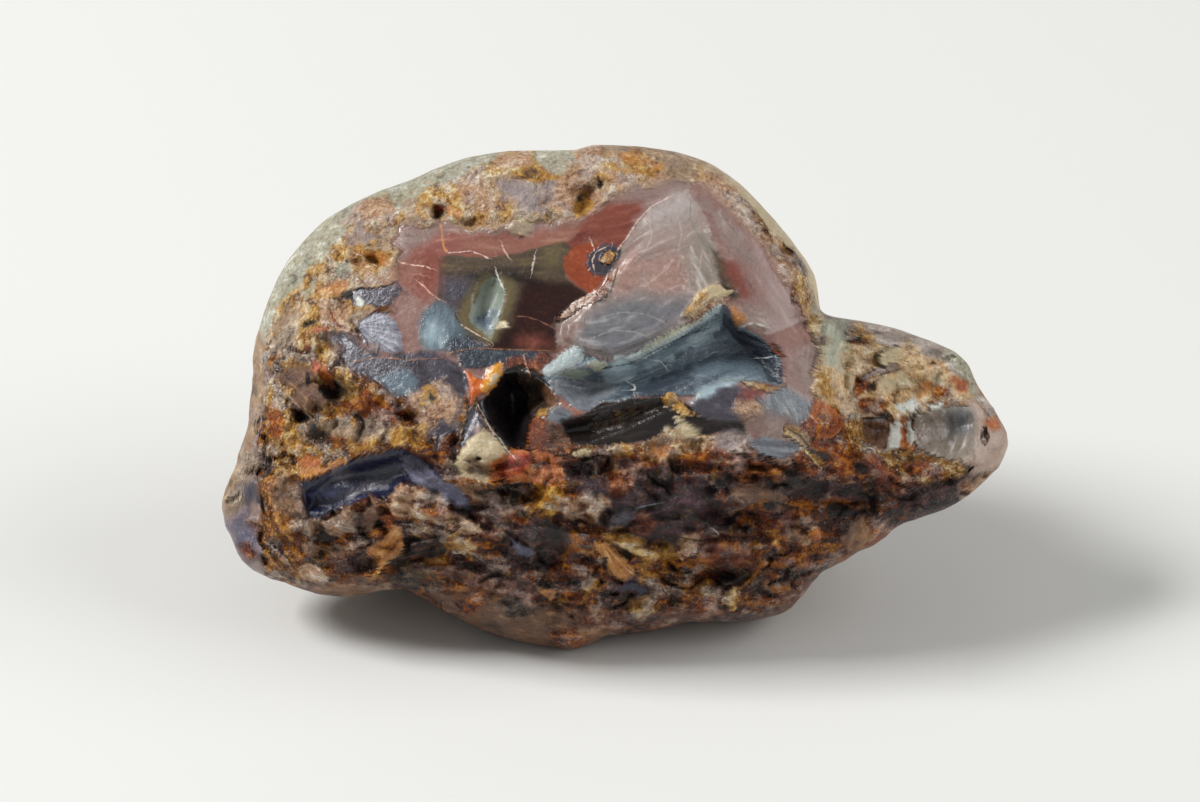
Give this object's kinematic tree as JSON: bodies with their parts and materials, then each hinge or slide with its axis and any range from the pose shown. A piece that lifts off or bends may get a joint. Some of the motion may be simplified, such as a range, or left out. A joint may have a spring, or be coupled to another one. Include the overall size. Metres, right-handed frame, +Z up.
{
  "type": "agate nodule",
  "caption": "Rough agate nodule, broken open on one side to show banded and slate blue chalcedony inside a vuggy brown crust, with a rounded pale rind behind and a small flat to rest on.",
  "frame": {"origin": "on the flat the stone rests on, below the middle of the broken face", "axes": "+X along the stone's length, towards its small lobe; -Y out of the broken face, which leans back 30 degrees; +Z up"},
  "size_m": [0.0789, 0.0409, 0.0449],
  "materials": {
    "agate": "satin"
  },
  "bodies": {
    "root": {"agate_nodule": "agate"}
  },
  "joints": []
}
